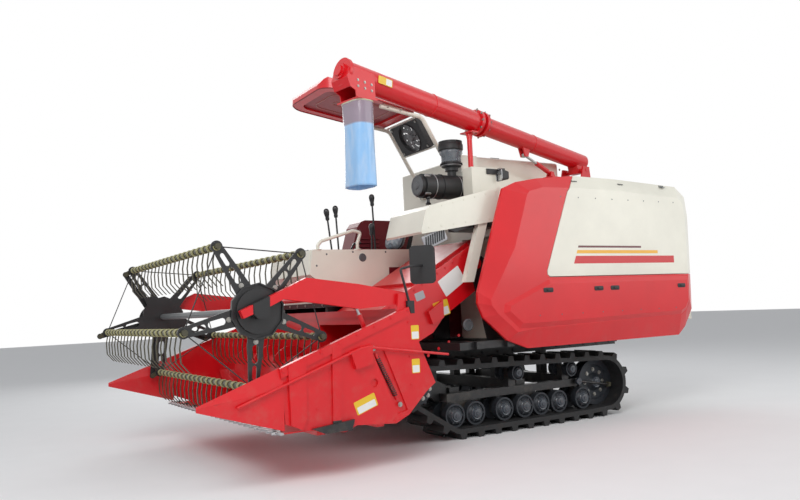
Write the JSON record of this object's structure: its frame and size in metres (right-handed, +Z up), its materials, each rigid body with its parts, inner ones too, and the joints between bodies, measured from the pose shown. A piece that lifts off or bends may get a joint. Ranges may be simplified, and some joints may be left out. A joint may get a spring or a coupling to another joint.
{
  "type": "combine harvester",
  "caption": "Tracked full-feed rice combine with a reel header, feeder house, side-mounted grain tank, open operator platform and a swinging unloading auger.",
  "frame": {"origin": "on the ground, under the middle of the whole machine's bounding box", "axes": "+X forwards towards the header, +Y to the machine's left, +Z up"},
  "size_m": [5.2997, 2.617, 3.252],
  "materials": {
    "red_paint": "gloss",
    "cream_paint": "gloss",
    "dark_red_paint": "gloss",
    "black_paint": "satin",
    "grey_paint": "satin",
    "belt_rubber": "matt",
    "steel": "satin",
    "iron": "matt",
    "tine_paint": "satin",
    "black_plastic": "matt",
    "lamp_metal": "bright",
    "seat_cover": "soft",
    "film": "soft"
  },
  "bodies": {
    "machine": {"track_left": "belt_rubber", "track_right": "belt_rubber", "road_rollers": "iron", "drive_sprockets": "iron", "idler_wheels": "iron", "track_frames": "black_paint", "chassis_frame": "black_paint", "drive_gearbox": "black_paint", "header_cylinder_bracket": "black_paint", "feeder_hinge_plates": "black_paint", "engine_block": "iron", "thresher_body": "cream_paint", "straw_hood": "cream_paint", "side_cover_upper": "cream_paint", "side_cover_lower": "red_paint", "front_shroud": "cream_paint", "belt_drives": "black_paint", "grain_tank": "cream_paint", "engine_cover": "dark_red_paint", "platform_floor": "black_paint", "console": "cream_paint", "control_levers": "black_plastic", "handrail": "cream_paint", "seat_frame": "black_paint", "seat_cushion": "seat_cover", "seat_back": "seat_cover", "canopy": "red_paint", "canopy_posts": "cream_paint", "fan_guard": "black_plastic", "air_filter": "black_plastic", "work_lamp": "lamp_metal", "unloader_column": "cream_paint", "unloader_rest": "red_paint"},
    "screen_door": {"screen_door": "black_plastic"},
    "fan": {"fan_rotor": "grey_paint"},
    "unloader_swing": {"unloader_turret": "cream_paint"},
    "unloader_boom": {"unloader_boom": "cream_paint", "spout_sleeve": "film"},
    "boom_barrel": {"boom_cylinder_barrel": "red_paint"},
    "boom_rod": {"boom_cylinder_rod": "steel"},
    "header": {"feeder_house": "red_paint", "header_trough": "red_paint", "header_side_left": "red_paint", "header_side_right": "red_paint", "cutter_bar": "steel", "mirror": "black_plastic"},
    "header_auger": {"header_auger": "red_paint"},
    "header_barrel": {"header_cylinder_barrel": "red_paint"},
    "header_rod": {"header_cylinder_rod": "steel"},
    "reel_arms": {"reel_arms": "red_paint"},
    "reel_barrels": {"reel_cylinder_barrels": "red_paint"},
    "reel_rods": {"reel_cylinder_rods": "steel"},
    "reel": {"reel_shaft": "grey_paint", "reel_spiders": "red_paint"},
    "reel_control": {"reel_control_ring": "red_paint"},
    "reel_bar_1": {"reel_bar_1": "tine_paint"},
    "reel_bar_2": {"reel_bar_2": "tine_paint"},
    "reel_bar_3": {"reel_bar_3": "tine_paint"},
    "reel_bar_4": {"reel_bar_4": "tine_paint"},
    "reel_bar_5": {"reel_bar_5": "tine_paint"}
  },
  "joints": [
    {"name": "screen_door_swing", "type": "hinge", "parent": "machine", "child": "screen_door", "pos_m": [-0.558, -1.26, 1.1], "axis": [0, 0, -1], "range_deg": [0, 95]},
    {"name": "fan_spin", "type": "hinge", "parent": "machine", "child": "fan", "pos_m": [-0.24185, -0.498, 2.82107], "axis": [0.8542, 0, -0.5199], "continuous": true},
    {"name": "unloader_turn", "type": "hinge", "parent": "machine", "child": "unloader_swing", "pos_m": [-1.98, 0.03, 2.35], "axis": [0, 0, 1], "range_deg": [0, 150]},
    {"name": "unloader_lift", "type": "hinge", "parent": "unloader_swing", "child": "unloader_boom", "pos_m": [-1.98, 0.03, 2.47], "axis": [0.1692, -0.9856, 0], "range_deg": [0, 14]},
    {"name": "boom_barrel_swing", "type": "hinge", "parent": "unloader_swing", "child": "boom_barrel", "pos_m": [-1.53649, 0.10613, 2.412], "axis": [0.1692, -0.9856, 0], "range_deg": [-1, 26.1]},
    {"name": "boom_rod_slide", "type": "slide", "parent": "boom_barrel", "child": "boom_rod", "axis": [0.9239, 0.1586, 0.3482], "range_m": [0, 0.0689]},
    {"name": "header_lift", "type": "hinge", "parent": "machine", "child": "header", "pos_m": [-0.04, 0.3, 1.45], "axis": [0, -1, 0], "range_deg": [-8, 9]},
    {"name": "header_auger_spin", "type": "hinge", "parent": "header", "child": "header_auger", "pos_m": [1.33, 0.3, 0.6], "axis": [0, -1, 0], "continuous": true},
    {"name": "header_barrel_swing", "type": "hinge", "parent": "machine", "child": "header_barrel", "pos_m": [0.04, 0.19, 0.6], "axis": [0, -1, 0], "range_deg": [-8.6, 9.5]},
    {"name": "header_rod_slide", "type": "slide", "parent": "header_barrel", "child": "header_rod", "axis": [0.9923, 0, 0.124], "range_m": [-0.1207, 0.1356]},
    {"name": "reel_lift", "type": "hinge", "parent": "header", "child": "reel_arms", "pos_m": [1.06, 0, 1.17], "axis": [0, -1, 0], "range_deg": [0, 28]},
    {"name": "reel_barrels_swing", "type": "hinge", "parent": "header", "child": "reel_barrels", "pos_m": [1.29, 0, 0.87], "axis": [0, -1, 0], "range_deg": [-1, 11.4]},
    {"name": "reel_rods_slide", "type": "slide", "parent": "reel_barrels", "child": "reel_rods", "axis": [0.3677, 0, 0.93], "range_m": [0, 0.153]},
    {"name": "reel_spin", "type": "hinge", "parent": "reel_arms", "child": "reel", "pos_m": [2.105, 0, 1.123], "axis": [0, -1, 0], "continuous": true},
    {"name": "reel_control_spin", "type": "hinge", "parent": "reel_arms", "child": "reel_control", "pos_m": [2.157, 0, 1.093], "axis": [0, -1, 0], "continuous": true},
    {"name": "reel_bar_1_turn", "type": "hinge", "parent": "reel", "child": "reel_bar_1", "pos_m": [2.36097, 0, 1.54317], "axis": [0, -1, 0], "continuous": true},
    {"name": "reel_bar_2_turn", "type": "hinge", "parent": "reel", "child": "reel_bar_2", "pos_m": [2.58371, 0, 1.0094], "axis": [0, -1, 0], "continuous": true},
    {"name": "reel_bar_3_turn", "type": "hinge", "parent": "reel", "child": "reel_bar_3", "pos_m": [2.14489, 0, 0.63262], "axis": [0, -1, 0], "continuous": true},
    {"name": "reel_bar_4_turn", "type": "hinge", "parent": "reel", "child": "reel_bar_4", "pos_m": [1.65095, 0, 0.93353], "axis": [0, -1, 0], "continuous": true},
    {"name": "reel_bar_5_turn", "type": "hinge", "parent": "reel", "child": "reel_bar_5", "pos_m": [1.78449, 0, 1.49628], "axis": [0, -1, 0], "continuous": true}
  ],
  "couplings": [
    {"joint": "boom_barrel_swing", "follows": "unloader_lift", "ratio": 1.7555},
    {"joint": "boom_rod_slide", "follows": "unloader_lift", "m_per_rad": 0.27382},
    {"joint": "header_barrel_swing", "follows": "header_lift", "ratio": 0.9488},
    {"joint": "header_rod_slide", "follows": "header_lift", "m_per_rad": 0.85033},
    {"joint": "reel_barrels_swing", "follows": "reel_lift", "ratio": 0.3707},
    {"joint": "reel_rods_slide", "follows": "reel_lift", "m_per_rad": 0.30891},
    {"joint": "reel_control_spin", "follows": "reel_spin", "ratio": 1},
    {"joint": "reel_bar_1_turn", "follows": "reel_spin", "ratio": -1},
    {"joint": "reel_bar_2_turn", "follows": "reel_spin", "ratio": -1},
    {"joint": "reel_bar_3_turn", "follows": "reel_spin", "ratio": -1},
    {"joint": "reel_bar_4_turn", "follows": "reel_spin", "ratio": -1},
    {"joint": "reel_bar_5_turn", "follows": "reel_spin", "ratio": -1}
  ]
}
